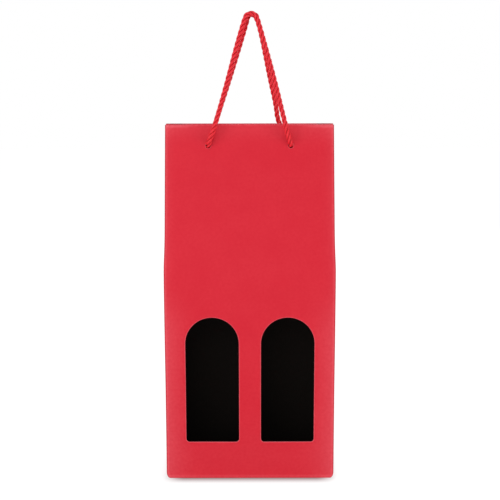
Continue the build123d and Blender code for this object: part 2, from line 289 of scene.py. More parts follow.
def makeYarn():
    # Dyed viscose yarn, laid in three strands: a saturated red, a silky highlight on each strand's crown that
    # breaks up over the yarns, painted shade between the yarns, and painted shade in the grooves where the
    # strands meet
    y = yarnFinish
    material, tree, shader = newMaterial("laidViscoseCord", {
        "Roughness": y["roughness"], "IOR": 1.5, "Specular IOR Level": 0.35, "Sheen Weight": 0.08,
        "Sheen Roughness": 0.35, "Sheen Tint": linearColour("#ff6a74")})
    along = addNode(tree, "ShaderNodeUVMap", uv_map="flatSheet").outputs[0]
    turned = addNode(tree, "ShaderNodeMapping", {"Vector": along, "Rotation": (0.0, 0.0, y["yarnTurn"])})
    yarns = addNode(tree, "ShaderNodeTexWave", {
        "Vector": turned.outputs[0], "Scale": y["bandScale"] / y["yarnSize"], "Distortion": 1.2,
        "Detail": 1.0, "Detail Scale": 2.0}, wave_type="BANDS", bands_direction="Y")
    fuzz = addNode(tree, "ShaderNodeTexNoise", {"Vector": along, "Scale": 1 / y["fuzzSize"], "Detail": 3.0})
    mixed = addNode(tree, "ShaderNodeMath", {
        0: yarns.outputs["Fac"], 1: fuzz.outputs[0]}, operation="MULTIPLY")
    share = addNode(tree, "ShaderNodeMapRange", {
        "Value": mixed.outputs[0], "From Min": 0.02, "From Max": 0.3})
    # painted shade towards the middle of the cord, darkest in the grooves between the strands
    paintedShadeInwards = addNode(tree, "ShaderNodeAttribute", attribute_name="foldWearAndPaintedLight")
    paintedGrooveShade = addNode(tree, "ShaderNodeMapRange", {
        "Value": paintedShadeInwards.outputs["Fac"], "From Min": 0.12, "From Max": 0.5}, interpolation_type="SMOOTHSTEP")
    # the darker red between the yarn bands is painted shade
    colour = addNode(tree, "ShaderNodeMix", {
        0: share.outputs[0], 6: linearColour(y["deep"]), 7: linearColour(y["red"])}, data_type="RGBA")
    shaded = addNode(tree, "ShaderNodeMix", {
        0: paintedGrooveShade.outputs[0], 6: colour.outputs[2], 7: linearColour(y["paintedGrooveShade"])}, data_type="RGBA")
    tree.links.new(shaded.outputs[2], shader.inputs["Base Color"])
    relief = addNode(tree, "ShaderNodeBump", {
        "Height": yarns.outputs["Fac"], "Distance": y["yarnDepth"], "Strength": 1.0})
    tree.links.new(relief.outputs[0], shader.inputs["Normal"])
    return material


filmBoard, cutEdge, liner, yarn = makeFilmBoard(), makeCutEdge(), makeLiner(), makeYarn()
boardMaterials = [filmBoard, cutEdge, liner]
red, cut, black = range(3)
print("materials made")


# Camera: at the photograph's angle, a little above the top edge of the box and looking down on it
eye = {
    "x": 0.64 * mm, "distance": 1360 * mm, "height": 447.6 * mm,
    "tilt": 8.59, "roll": 0.1,          # degrees
    "focal": 91.15, "sensor": 36.0,     # millimetres
}
lensData = bpy.data.cameras.new("productCamera")
lensData.lens, lensData.sensor_width = eye["focal"], eye["sensor"]
camera = bpy.data.objects.new("productCamera", lensData)
camera.location = (eye["x"], -eye["distance"], eye["height"])
camera.rotation_euler = ((90 - eye["tilt"]) * pi / 180, eye["roll"] * pi / 180, 0)
bpy.context.scene.collection.objects.link(camera)
bpy.context.scene.camera = camera


# Cord handles
cord = {
    "diameter": 5.0 * mm,
    "lay": 18.5 * mm,           # length of one full turn of a strand
    "strandRadius": 1.36 * mm,
    "layRadius": 1.42 * mm,     # of the strands' centres about the middle of the cord
    "sides": 14,
    "step": 0.55 * mm,          # between the rings of a strand
    "holeX": 43.966 * mm,
    "holeHeight": 135 * mm,     # of the holes, up the slope from the shoulder
    "axisY": 17.861 * mm,       # the line that a loop turns on
    "axisZ": 357.321 * mm,
    "loopLean": 6.248 * pi / 180,
    "standoff": 4.5 * mm,       # from a panel's face to that line
    "inside": 5.0 * mm,         # how far behind the panel's face the cord starts, inside its knot
    "strandShift": 0.01,        # between the strands in their uv
}
# x, and height above the turning line, of the points that pull each loop into its shape, in millimetres
frontRoute = [
    (-36.9, 19.5), (-24.7, 61.5), (-14.6, 100.0), (-5.9, 129.7), (-2.6, 138.4),
    (6.6, 138.4), (9.5, 129.8), (15.0, 110.5), (27.2, 66.0), (37.0, 25.0)]
backRoute = [
    (-36.6, 23.0), (-23.0, 64.0), (-11.3, 101.5), (-3.0, 129.1), (-1.0, 137.6),
    (5.9, 137.2), (9.5, 129.2), (14.0, 111.2), (22.1, 69.5), (28.5, 42.0), (30.6, 22.5)]


def loopPoints(route, side):
    # A point of the route is the loop's origin, plus x sideways, plus its height up the loop's leaning plane.
    # The cord comes out of each hole square to the panel, and goes back in at the other one.
    flat = np.array([(-cord["holeX"] / mm, 0.0), *route, (cord["holeX"] / mm, 0.0)]) * mm
    up = np.array([0, -side * sin(cord["loopLean"]), cos(cord["loopLean"])])
    loop = np.array([0, side * cord["axisY"], cord["axisZ"]]) + flat[:, :1] * [1, 0, 0] + flat[:, 1:] * up
    inward = np.array([0, -side * cos(lean), -sin(lean)])
    standoff = cord["standoff"] + cord["inside"]
    return np.concatenate([loop[:1] + inward * standoff, loop, loop[-1:] + inward * standoff])


def splineThrough(points, name):
    # the smooth line that the control points pull: a quadratic NURBS that starts and ends on its end points
    curve = bpy.data.curves.new(name, "CURVE")
    curve.dimensions, curve.resolution_u = "3D", 48
    spline = curve.splines.new("NURBS")
    spline.points.add(len(points) - 1)
    spline.points.foreach_set("co", np.column_stack([points, np.ones(len(points))]).ravel())
    spline.order_u, spline.use_endpoint_u = 3, True
    holder = bpy.data.objects.new(name, curve)
    mesh = bpy.data.meshes.new_from_object(holder)
    line = np.zeros(len(mesh.vertices) * 3)
    mesh.vertices.foreach_get("co", line)
    bpy.data.objects.remove(holder)
    bpy.data.curves.remove(curve)
    bpy.data.meshes.remove(mesh)
    return line.reshape(-1, 3)


def evenSteps(line, step):
    # the same line with its points an even step apart
    gone = np.concatenate([[0], np.cumsum(np.linalg.norm(np.diff(line, axis=0), axis=1))])
    at = np.linspace(0, gone[-1], int(round(gone[-1] / step)) + 1)
    return np.stack([np.interp(at, gone, line[:, k]) for k in range(3)], axis=1), at


def carriedFrames(line, closed=False):
    # Across and over directions carried along the line without twist; each station turns the last one's frame
    # by what its tangent turns. On a closed line the small turn left at the end is spread over its length.
    tangent = np.gradient(line, axis=0)
    if closed:
        tangent = np.roll(line, -1, axis=0) - np.roll(line, 1, axis=0)
    tangent /= np.linalg.norm(tangent, axis=1, keepdims=True)
    across = np.zeros_like(line)
    seed = np.cross(tangent[0], [0.31, 0.2, 0.93])
    across[0] = seed / np.linalg.norm(seed)
    for k in range(1, len(line)):
        v = across[k - 1] - tangent[k] * (across[k - 1] @ tangent[k])
        across[k] = v / np.linalg.norm(v)
    over = np.cross(tangent, across)
    if closed:
        last = across[-1] - tangent[0] * (across[-1] @ tangent[0])
        share = np.linspace(0, 1, len(line), endpoint=False)[:, None]
        left = -np.arctan2(last @ over[0], last @ across[0]) * share
        turned = across * np.cos(left) + over * np.sin(left)
        across, over = turned, over * np.cos(left) - across * np.sin(left)
    return across, over


def laidStrands(line, gone, turns, closed=False, shrink=1.0):
    # Three strands laid round the line. The middle of strand k at length g along the line is the line plus
    # the lay radius at the angle 2 pi (turns g / length + k / 3), turned right-handed, and a ring round it
    # is a circle.
    across, over = carriedFrames(line, closed)
    ring = np.linspace(0, 2 * pi, cord["sides"], endpoint=False)
    surfaces = []
    for k in range(3):
        angle = (2 * pi * (turns * gone / gone[-1] + k / 3))[:, None]
        if closed:
            angle = (2 * pi * (turns * np.arange(len(line)) / len(line) + k / 3))[:, None]
        radial = across * np.cos(angle) + over * np.sin(angle)
        middle = line + radial * cord["layRadius"] * shrink
        way = np.gradient(middle, axis=0)
        if closed:
            way = np.roll(middle, -1, axis=0) - np.roll(middle, 1, axis=0)
        way /= np.linalg.norm(way, axis=1, keepdims=True)
        out = radial - way * (radial * way).sum(1, keepdims=True)
        out /= np.linalg.norm(out, axis=1, keepdims=True)
        side = np.cross(way, out)
        radius = np.full(len(line), cord["strandRadius"] * shrink)
        if not closed:                          # round the strand's two ends off, each to a pole
            run = np.minimum(gone, gone[-1] - gone) / (cord["strandRadius"] * shrink)
            radius *= np.sqrt(np.clip(1 - (1 - np.clip(run, 0, 1)) ** 2, 0, 1))
        points = (middle[:, None] + radius[:, None, None] * (
            np.cos(ring)[None, :, None] * out[:, None] + np.sin(ring)[None, :, None] * side[:, None]))
        n, m = len(line), cord["sides"]
        rows = np.arange(n * m).reshape(n, m)
        nextRow = np.roll(rows, -1, axis=0) if closed else rows[1:]
        base = rows if closed else rows[:-1]
        quads = np.stack([base, np.roll(base, -1, 1), np.roll(nextRow, -1, 1), nextRow], axis=2)
        u = np.repeat(gone, m)
        v = np.tile(ring * cord["strandRadius"], n) + k * cord["strandShift"]
        paintedShadeInwards = np.tile((1 - np.cos(ring)) / 2, n)   # share of painted shade: 0 on the strand's crown and 1 at the cord's middle
        surfaces.append((points.reshape(-1, 3), quads.reshape(-1, 4), np.column_stack([u, v]), paintedShadeInwards, 0))
    return surfaces


def makeHandle(name, route, side):
    # a cord from knot to knot
    line, gone = evenSteps(splineThrough(loopPoints(route, side), name + "Line"), cord["step"])
    rope = buildPiece(name + "Rope", laidStrands(line, gone, gone[-1] / cord["lay"]), [yarn], sharp=180)
    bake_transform(rope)
    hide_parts(name + "_handle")
    print(name, "is", round(gone[-1] / mm, 1), "mm from knot to knot")


makeHandle("front", frontRoute, -1)
makeHandle("back", backRoute, 1)


knotShape = {
    "ring": 2.0 * mm,           # R in the formula of the line
    "swell": 1.1 * mm,          # and r
    "shrink": 0.62,             # of the strands, which are pulled thinner than in the loop
    "depth": 2.9 * mm,          # of the knot's middle behind the hem
    "length": 40 * mm,          # of the cord that is in the knot
    "points": 84,
    "turns": 3,
}


def makeKnot(name, body, side, hand):
    # An overhand knot pulled tight: its line is the trefoil, at the angle a the point ((R + r cos 3a) cos 2a,
    # (R + r cos 3a) sin 2a, r sin 3a) in the plane of the panel, behind the hem
    k = knotShape
    a = np.linspace(0, 2 * pi, k["points"], endpoint=False)
    out = k["ring"] + k["swell"] * np.cos(3 * a)
    x = hand * cord["holeX"] + out * np.cos(2 * a)
    s = box["wall"] + cord["holeHeight"] + out * np.sin(2 * a)
    n = 2 * board + k["depth"] + k["swell"] * np.sin(3 * a)
    line = panelPlace(side)(x, s, n)
    gone = np.linspace(0, 1, len(line)) * k["length"]
    strands = laidStrands(line, gone, k["turns"], True, k["shrink"])
    knot = buildPiece(name + "Rope", strands, [yarn], sharp=180)
    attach(knot, body)
    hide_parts(name)


# Sheets of board
rim = {
    "margin": 1.0 * mm,         # the rings round an opening end this far from its outline
    "rings": 4,
    "worn": 0.55,               # wear of the print where the edge is rolled in
    "wornTo": 0.9 * mm,         # and how far that reaches from the outline
}
# Offset from the outline and depth below the outer face, in millimetres: the die rolls the face in, cuts the
# middle square and leaves a small burr at the lining
rimProfile = np.array([
    (1.0, 0), (0.5, 0.012), (0.16, 0.11), (0.02, 0.34), (0, 0.6),
    (0, 1.15), (0.08, 1.42), (0.35, 1.5), (1.0, 1.5)]) * mm
rimFaces = (red, red, red, cut, cut, cut, black, black)


def cutSheet(across, up, openings):
    # A flat sheet as a grid, with each opening's block of cells given over to rings that run from the block's
    # edge in to the margin round its outline: a ring is the edge's share and the margin's share, added.
    # Returns the nodes, the quads, the grid's numbers and the last rings.
    nodes = np.stack(np.meshgrid(across, up), axis=2).reshape(-1, 2)
    grid = np.arange(len(nodes)).reshape(len(up), len(across))
    cells = np.stack([grid[:-1, :-1], grid[:-1, 1:], grid[1:, 1:], grid[1:, :-1]], axis=2)
    keep = np.ones(cells.shape[:2], bool)
    quads, rings = [], []
    for outline, normal, (left, right, low, high) in openings:
        i0, i1 = np.argmin(abs(across - left)), np.argmin(abs(across - right))
        j0, j1 = np.argmin(abs(up - low)), np.argmin(abs(up - high))
        keep[j0:j1, i0:i1] = False
        last = np.concatenate([grid[j0, i0:i1], grid[j0:j1, i1], grid[j1, i1:i0:-1], grid[j1:j0:-1, i0]])
        edge, inner = nodes[last], outline + normal * rim["margin"]
        for share in np.linspace(0, 1, rim["rings"] + 1)[1:]:
            row = np.arange(len(last)) + len(nodes)
            nodes = np.concatenate([nodes, edge * (1 - share) + inner * share])
            quads.append(stripBetween(last, row, closed=True))
            last = row
        rings.append(last)
    return nodes, np.concatenate([cells[keep], *quads]), grid, rings


def openingRim(place, outline, normal, deep):
    # the wall of an opening, from the outer face to the lining; deep(d) is the depth of the profile's point
    closed = np.append(np.arange(len(outline)), 0)
    gone = np.concatenate([[0], np.cumsum(np.linalg.norm(np.diff(outline[closed], axis=0), axis=1))])
    surfaces = []
    for first, second, face in zip(rimProfile[:-1], rimProfile[1:], rimFaces):
        rows = [outline[closed] + normal[closed] * p[0] for p in (first, second)]
        points = np.concatenate([place(r[:, 0], r[:, 1], np.full(len(r), deep(p[1])))
                                 for r, p in zip(rows, (first, second))])
        uv = np.concatenate([np.column_stack([gone, np.full(len(gone), p[1])]) for p in (first, second)])
        if face == red:
            uv = np.concatenate(rows) + [sheetShift, 0]
        wear = np.repeat([0.0 if p[0] > rim["wornTo"] else rim["worn"] for p in (first, second)], len(closed))
        n = len(closed)
        surfaces.append((points, stripBetween(np.arange(n), np.arange(n) + n), uv, wear, face))
    return surfaces


def boardShell(place, across, up, outer, inner, openings=(), edges=(cut, cut, cut, cut), wear=None, deep=None,
               faces=(red, black), wrap=None):
    # A sheet of board as a closed shell: its outer face, its lining, and a wall along each border and
    # opening. Above the height wrap, the lining shows the print too. outer and inner take the grid's numbers
    # to (x, height up the sheet, depth), and place takes those to a point.
    nodes, quads, grid, rings = cutSheet(across, up, openings)
    front, back = outer(nodes[:, 0], nodes[:, 1]), inner(nodes[:, 0], nodes[:, 1])
    worn = wear(*front) if wear else np.zeros(len(nodes))
    flat = np.column_stack([front[0] + sheetShift, front[1]])
    frontPoints, backPoints = place(*front), place(*back)
    wraps = nodes[quads, 1].min(axis=1) > (wrap or np.inf)
    surfaces = [(frontPoints, quads, flat, worn, faces[0]),
                (backPoints, quads, flat, worn * 0, np.where(wraps, red, faces[1]))]
    for border, face in zip((grid[0], grid[-1], grid[:, 0], grid[:, -1]), edges):
        if face is None:
            continue
        n = len(border)
        line = frontPoints[border]
        gone = np.concatenate([[0], np.cumsum(np.linalg.norm(np.diff(line, axis=0), axis=1))])
        thick = np.linalg.norm(backPoints[border] - line, axis=1)
        uv = np.concatenate([np.column_stack([gone, gone * 0]), np.column_stack([gone, thick])])
        points = np.concatenate([line, backPoints[border]])
        surfaces.append((points, stripBetween(np.arange(n), np.arange(n) + n), uv, np.zeros(2 * n), face))
    for outline, normal, _ in openings:
        surfaces += openingRim(place, outline, normal, deep)
    return surfaces


def leanProfile(s, n, angle):
    # Where a sheet that stands upright and then leans in by the angle has its point at height s up the sheet
    # and depth n. The fold is an arc over the soft crease's length on each side: radius = 2 soft / angle.
    soft = box["softCrease"]
    over = s - box["wall"]
    radius = 2 * soft / angle
    turn = np.clip((over + soft) / (2 * soft), 0, 1) * angle
    past = np.maximum(over - soft, 0)
    q = radius * (1 - np.cos(turn)) + past * sin(angle)
    z = np.minimum(s, box["wall"] - soft) + radius * np.sin(turn) + past * cos(angle)
    return q + n * np.cos(turn), z - n * np.sin(turn)


def footRoll(s):
    # how far the outer face has turned under near the foot: a quarter ellipse, footRise high, footRoll deep
    run = np.clip(1 - s / box["footRise"], 0, 1)
    return box["footRoll"] * (1 - np.sqrt(1 - run ** 2))


settled = {
    "wider": 0.0100,            # share that x grows by at the shoulders: 0.9 mm
    "upwards": 22, "down": 115,         # millimetres over which that fades, as a Gaussian
    "rubbed": 0.027,            # share that x shrinks by at the foot: 2.4 mm
    "rubbedTo": 6.5 * mm, "rubbedCurve": 2.4,
}


def settle(x, y, z):
    # The box stands a little wider at its shoulders, where the folded sides push out, and the corners of its
    # foot are rubbed round: x times 1 + wider (Gaussian of the height from the shoulder) - rubbed (1 - z /
    # rubbedTo)^rubbedCurve.
    s = settled
    over = z / mm - box["wall"] / mm
    foot = np.clip(1 - z / s["rubbedTo"], 0, 1) ** s["rubbedCurve"]
    shoulder = np.exp(-(over / np.where(over > 0, s["upwards"], s["down"])) ** 2)
    return np.column_stack([x * (1 + s["wider"] * shoulder - s["rubbed"] * foot), y, z])


panelShape = {
    "pillow": 0.9 * mm,         # how far the middle of a wall stands out
    "slopePillow": 0.5 * mm,
    "droop": 0.7 * mm,          # the front top corners sag by this much
}


def pillow(x, s):
    # 0 at the edges and at the shoulder: (1 - (x / half width)^2) times a half sine up the wall, and one up
    # the slope
    side = 1 - np.clip(x / box["halfWidth"], -1, 1) ** 2
    wall = np.sin(pi * np.clip(s / box["wall"], 0, 1)) * panelShape["pillow"]
    slope = np.sin(pi * np.clip((s - box["wall"]) / box["slant"], 0, 1)) * panelShape["slopePillow"]
    return side * (wall + slope)


def cornerDroop(x, s):
    # the droop, times a smooth step towards the corner sideways and another upwards
    return panelShape["droop"] * ramp(abs(x), 43 * mm, 90 * mm) * ramp(s, 300 * mm, 382 * mm)


def panelPlace(side):
    # Takes (x, height up the sheet, depth) of the front (-1) or back (1) board to a point: the sheet leans in
    # along leanProfile and is pushed out by the pillow. At the foot its face and its corners turn under.
    def place(x, s, n):
        if side < 0:
            s = s - cornerDroop(x, s)
        roll = footRoll(s)
        n = roll + n * (board - roll) / board
        q, z = leanProfile(s, n, lean)
        q = q - pillow(x, s)
        past = np.maximum(abs(x) - flatHalf, 0)
        x = np.sign(x) * (abs(x) - past * roll / board)
        return settle(x, side * (box["halfDepth"] - q), z)
    return place


def arcRow(centre, radius, first, last, count):
    # points on an arc from one angle towards another, in degrees, and the way outwards at each
    a = np.linspace(first, last, count, endpoint=False) * pi / 180
    way = np.column_stack([np.cos(a), np.sin(a)])
    return np.array(centre) + radius * way, way


def straightRow(first, last, way, count):
    # points on a straight line from the first towards the last, and the same way outwards at each
    share = np.linspace(0, 1, count, endpoint=False)[:, None]
    return np.array(first) * (1 - share) + np.array(last) * share, np.tile(np.array(way, float), (count, 1))


window = {
    "x": 40 * mm, "half": 28.3 * mm, "sill": 40.5 * mm, "spring": 148.2 * mm, "corner": 3.4 * mm,
    "block": (0.0, 80 * mm, 25 * mm, 200 * mm),
}


def archOutline(hand, wide, tall):
    # A window with a round head and small round corners at its sill, anticlockwise from the middle of its
    # lower left corner, with as many steps on each side as the block has cells
    w = window
    x, h, r = hand * w["x"], w["half"], w["corner"]
    left, right, low = x - h + r, x + h - r, w["sill"] + r
    rows = [
        arcRow((left, low), r, 225, 270, 3),
        straightRow((left, w["sill"]), (right, w["sill"]), (0, -1), wide - 6),
        arcRow((right, low), r, 270, 360, 6),
        straightRow((x + h, low), (x + h, w["spring"]), (1, 0), tall - 11),
        arcRow((x, w["spring"]), h, 0, 45, 8),
        arcRow((x, w["spring"]), h, 45, 135, wide),
        arcRow((x, w["spring"]), h, 135, 180, 8),
        straightRow((x - h, w["spring"]), (x - h, low), (-1, 0), tall - 11),
        arcRow((left, low), r, 180, 225, 3),
    ]
    first, last = (0.0, w["block"][1]) if hand > 0 else (-w["block"][1], 0.0)
    return (*(np.concatenate(p) for p in zip(*rows)), (first, last, *w["block"][2:]))


holeBlock = {"low": 352 * mm, "high": 368 * mm, "near": 36 * mm, "far": 52 * mm, "radius": 2.66 * mm}


def holeOutline(hand):
    # a cord hole: a full circle from the lower left, with as many steps as its block's edge has
    b = holeBlock
    points, way = arcRow((hand * cord["holeX"], box["wall"] + cord["holeHeight"]), b["radius"], 225, 585, 32)
    first, last = (b["near"], b["far"]) if hand > 0 else (-b["far"], -b["near"])
    return points, way, (first, last, b["low"], b["high"])


def bothWays(values):
    # the same values to the left and to the right of the middle, in metres
    values = np.array(sorted(values)) * mm
    return np.concatenate([-values[:0:-1], values])


footLines = [0, 0.15, 0.4, 0.8, 1.25, 1.7, 2.2, 3, 4.5, 7, 12, 18, *range(25, 211, 5)]


def panelLines():
    # Columns and rows of a panel's grid, in millimetres. The last five of each lie on the round fold that
    # starts where the flat ends, at 88.5 and 382.
    x = [*range(0, 36, 5), 36, 38, 40, 42, 44, 46, 48, 50, 52, 56, 60, 65, 70, 75, 80, 84, 86.5, 88.5]
    x += [88.5 + 1.5 * pi / 2 * k / 5 for k in range(1, 6)]
    s = [*footLines, *range(216, 236, 2), *range(240, 349, 9), *range(352, 369, 2), 372, 376, 379, 381, 382]
    s += [382 + 1.5 * pi / 2 * k / 5 for k in range(1, 6)]
    return bothWays(x), np.array(s) * mm


def panelOuter(c, t):
    # the panel's face, which turns back by a quarter round at its sides and its top edge
    a = np.maximum(abs(c) - flatHalf, 0) / board
    b = np.maximum(t - flatTop, 0) / board
    return (np.sign(c) * (np.minimum(abs(c), flatHalf) + board * np.sin(a)),
            np.minimum(t, flatTop) + board * np.cos(a) * np.sin(b), board - board * np.cos(a) * np.cos(b))


def panelInner(c, t):
    # the panel's lining: the same outline as the face, a board's thickness below it
    x, s, n = panelOuter(c, t)
    return x, s, n * 0 + board


def foldWearAndPaintedLight(x, s, n):
    # Whitened print and painted light: paler along the folded top edge, with a wider painted glow towards it,
    # paler along the corner folds, with a wider painted highlight on the flanks of the lower wall, and paler
    # at the foot, with painted light on the lower wall; a Gaussian across each
    out = abs(x) / box["halfWidth"]
    band = (1.4 + 2.2 * ramp(out, 0.45, 1.0)) * mm       # the fold's paler band is wider towards its ends
    top = (0.26 + 0.2 * out ** 3) * ramp(s, sheetTop - band - 0.8 * mm, sheetTop - band + 0.4 * mm)
    top = top + 0.22 * bell(s, sheetTop, 14 * mm) * (0.6 + 0.6 * out ** 4)
    side = 0.3 * bell(abs(x), 88.4 * mm, 0.8 * mm) + 0.12 * bell(abs(x), 90 * mm, 7 * mm)
    paintedFlankLight = 0.24 * bell(abs(x), 90 * mm, 20 * mm) * (1 - ramp(s, 150 * mm, 215 * mm))
    foot = 0.3 * bell(s, 2.2 * mm, 1.0 * mm) + 0.05 * (1 - ramp(s, 20 * mm, 90 * mm))
    # and a painted shade line, below 0, where the corner fold is round
    line = ramp(abs(x), 88.7 * mm, 89.5 * mm)
    return np.clip(top + side + paintedFlankLight + foot, 0, 1) * (1 - line) - 0.5 * line


def makePanel(name, side, openings):
    # a wall and the leaning panel above it are one sheet, bent over the shoulder between the two bodies
    across, up = panelLines()
    surfaces = boardShell(panelPlace(side), across, up, panelOuter, panelInner, openings,
                          (red, None, None, None), foldWearAndPaintedLight, deep=lambda d: d, wrap=flatTop - 3.5 * mm)
    piece = buildPiece(name + "Board", surfaces, boardMaterials)
    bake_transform(piece)
    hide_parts(name + "_panel", name + "_top_panel")


holes = [holeOutline(-1), holeOutline(1)]
# cells of a window's block, across and up
wide = len([v for v in panelLines()[0] if 1e-9 < v <= 80.001 * mm])
tall = 35
makePanel("front", -1, [archOutline(-1, wide, tall), archOutline(1, wide, tall), *holes])
makePanel("back", 1, holes)
print("front and back boards made")


hem = {
    "half": 72 * mm,
    "low": 351.5 * mm,
    "gap": 0.02,                # between the hem and the panel, as a share of the board's thickness
}


def makeHem(name, side):
    # the board turned in behind the top edge, red side out, and folded over it on the same round as the panel
    across, up = panelLines()
    across = np.concatenate([[-hem["half"]], across[abs(across) < hem["half"]], [hem["half"]]])
    up = np.concatenate([[hem["low"]], up[up > hem["low"]]])

    def outer(c, t):
        # two boards deep, then a quarter round of the board's thickness over the top edge
        b = np.maximum(t - flatTop, 0) / board
        return c, np.minimum(t, flatTop) + board * np.sin(b), board + board * np.cos(b)

    def inner(c, t):
        # against the panel's lining, less the gap
        x, s, n = outer(c, t)
        return x, s, n * 0 + (1 + hem["gap"]) * board

    surfaces = boardShell(panelPlace(side), across, up, outer, inner, holes, wear=foldWearAndPaintedLight,
                          deep=lambda d: 2 * board - d * (1 - hem["gap"]))
    piece = buildPiece(name + "Hem", surfaces, boardMaterials)
    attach(piece, name + "_top")
    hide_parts(name + "_hem")


makeHem("front", -1)
makeHem("back", 1)
for name, side in (("front", -1), ("back", 1)):
    for handName, hand in (("left", -1), ("right", 1)):
        makeKnot(f"{name}_{handName}_knot", name + "_top", side, hand)
print("hems and knots made")


sides = {
    "lean": 16.306 * pi / 180,
    "half": innerHalf,
    "gussetHalf": 43.4 * mm,
    "gussetRise": 152.8 * mm,   # from the shoulder to the point where the triangle's sides meet
    "tip": 1.0 * mm,            # half width of the triangle's cut point
    "bulge": 0.7 * mm,          # how far the middle of a side wall stands out
}


def makeSide(name, hand):
    # The side wall and its folded top's middle triangle are one sheet, creased at the shoulder. Its edges
    # are square where they meet the corner folds and half round where the triangle folds on to the wings. Its
    # half width is the wall's, and above the shoulder gussetHalf (1 - height / gussetRise).
    d = sides
    top = box["wall"] + d["gussetRise"] * (1 - d["tip"] / d["gussetHalf"])
    up = np.array([*footLines, *range(214, 236, 2), *range(240, 365, 6)]) * mm
    up = np.append(up[up < top - 1 * mm], top)
    arcs = np.array([1 / 3, 2 / 3, 1])
    across = np.concatenate([-1 - arcs[::-1], np.linspace(-1, 1, 25), 1 + arcs])

    def outline(c, t):
        # y is c times the half width less r; past 1 a round adds r sin a to it and sinks by r (1 - cos a)
        taper = d["gussetHalf"] * (1 - (t - box["wall"]) / d["gussetRise"])
        half = d["half"] + (np.minimum(taper, d["gussetHalf"]) - d["half"]) * ramp(t, 221 * mm, 227 * mm)
        r = (0.02 + 0.72 * ramp(t, 220 * mm, 228 * mm)) * mm
        a = np.maximum(abs(c) - 1, 0) * pi / 2
        return np.clip(c, -1, 1) * (half - r) + np.sign(c) * r * np.sin(a), r * (1 - np.cos(a))

    def outer(c, t):
        # the face
        y, n = outline(c, t)
        return y, t, n

    def inner(c, t):
        # the lining, a board's thickness below
        y, n = outline(c, t)
        return y, t, board - n

    def place(y, s, n):
        # leaned in at the shoulder; the wall stands out by bulge (1 - (y / half)^2) times a half sine up it
        roll = footRoll(s)
        q, z = leanProfile(s, roll + n * (board - roll) / board, d["lean"])
        q = q - d["bulge"] * (1 - (y / d["half"]) ** 2) * np.sin(pi * np.clip(s / box["wall"], 0, 1))
        return settle(hand * (box["halfWidth"] - q), y, z)

    def wear(y, s, n):
        # Gaussians at the foot and along the triangle's slanting edges
        foot = 0.3 * bell(s, 2.2 * mm, 1.0 * mm)
        edge = (d["gussetHalf"] * (1 - (s - box["wall"]) / d["gussetRise"]) - abs(y)) / (1.5 * mm)
        return foot + 0.4 * np.exp(-edge ** 2) * ramp(s, 222 * mm, 228 * mm)

    surfaces = boardShell(place, across, up, outer, inner, wear=wear, edges=(red, red, red, red))
    piece = buildPiece(name + "SideBoard", surfaces, boardMaterials)
    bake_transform(piece)
    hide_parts(name + "_side_panel", name + "_gusset")


makeSide("right", 1)
makeSide("left", -1)


wing = {
    "fold": 6.916 * pi / 180,   # from the leaning panel to the wing that is tucked in behind it
    "reach": 36.5 * mm,         # from the panel's corner fold to the wing's cut tip
    "slope": box["halfDepth"] / box["slant"],
    "past": 0.3 * mm,           # the slanting edge runs this and a board past the fold line
    "thick": 1.47 * mm,
}


def makeWing(handName, hand, name, side):
    # a wing hangs on the panel's edge by a round fold and its slanting edge meets the middle triangle
    w = wing
    f = w["fold"]
    inward = np.array([0, cos(lean), -sin(lean)])
    upWay = np.array([0, sin(lean), cos(lean)])
    wingX = np.array([-cos(f), 0, 0]) + inward * sin(f)
    wingZ = np.array([sin(f), 0, 0]) + inward * cos(f)
    origin = np.array([flatHalf, -box["halfDepth"], box["wall"]]) + inward * board
    up = np.concatenate([[4, 8, 14], np.arange(20, 156, 6), [156, 158, 158.5]]) * mm
    arcs = np.array([1 / 5, 2 / 5, 3 / 5, 4 / 5, 1])
    across = np.concatenate([-arcs[::-1], np.linspace(0, 1, 13), 1 + arcs])

    def section(c, t):
        # Distance from the panel's fold, then the heights of face and back: a quarter round of the thickness
        # at the fold, and a half round at the free edge
        half = w["thick"] / 2
        end = np.minimum(w["reach"], w["past"] + w["slope"] * t) - half
        bent, edge = np.clip(-c, 0, 1) * pi / 2, np.clip(c - 1, 0, 1) * pi / 2
        a = np.clip(c, 0, 1) * end - w["thick"] * np.sin(bent) + half * np.sin(edge)
        return a, w["thick"] * np.cos(bent) - half * (1 - np.cos(edge)), half * (1 - np.cos(edge))

    def outer(c, t):
        # the face
        a, high, low = section(c, t)
        return a, t, high

    def inner(c, t):
        # the back
        a, high, low = section(c, t)
        return a, t, low

    def place(a, t, m):
        # the origin plus a wingX, t upWay and m wingZ, less the front's droop
        if side < 0:
            t = t - cornerDroop(flatHalf - a, t + box["wall"])
        points = origin + a[:, None] * wingX + t[:, None] * upWay + m[:, None] * wingZ
        points = points * [hand, -side, 1]
        return settle(*points.T)

    def wear(a, t, m):
        # Gaussians: whitened print along the slanting edge, and a painted highlight along the top
        slant = (w["past"] + w["slope"] * t - a) / (1.5 * mm)
        return 0.4 * np.exp(-slant ** 2) + 0.4 * bell(t, box["slant"], 0.8 * mm)

    surfaces = boardShell(place, across, up, outer, inner, wear=wear, edges=(cut, cut, None, None))
    node = f"{handName}_{name}_wing"
    piece = buildPiece(node + "Board", surfaces, boardMaterials)
    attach(piece, node)
    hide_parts(node)


for handName, hand in (("right", 1), ("left", -1)):
    for name, side in (("front", -1), ("back", 1)):
        makeWing(handName, hand, name, side)
print("sides and wings made")


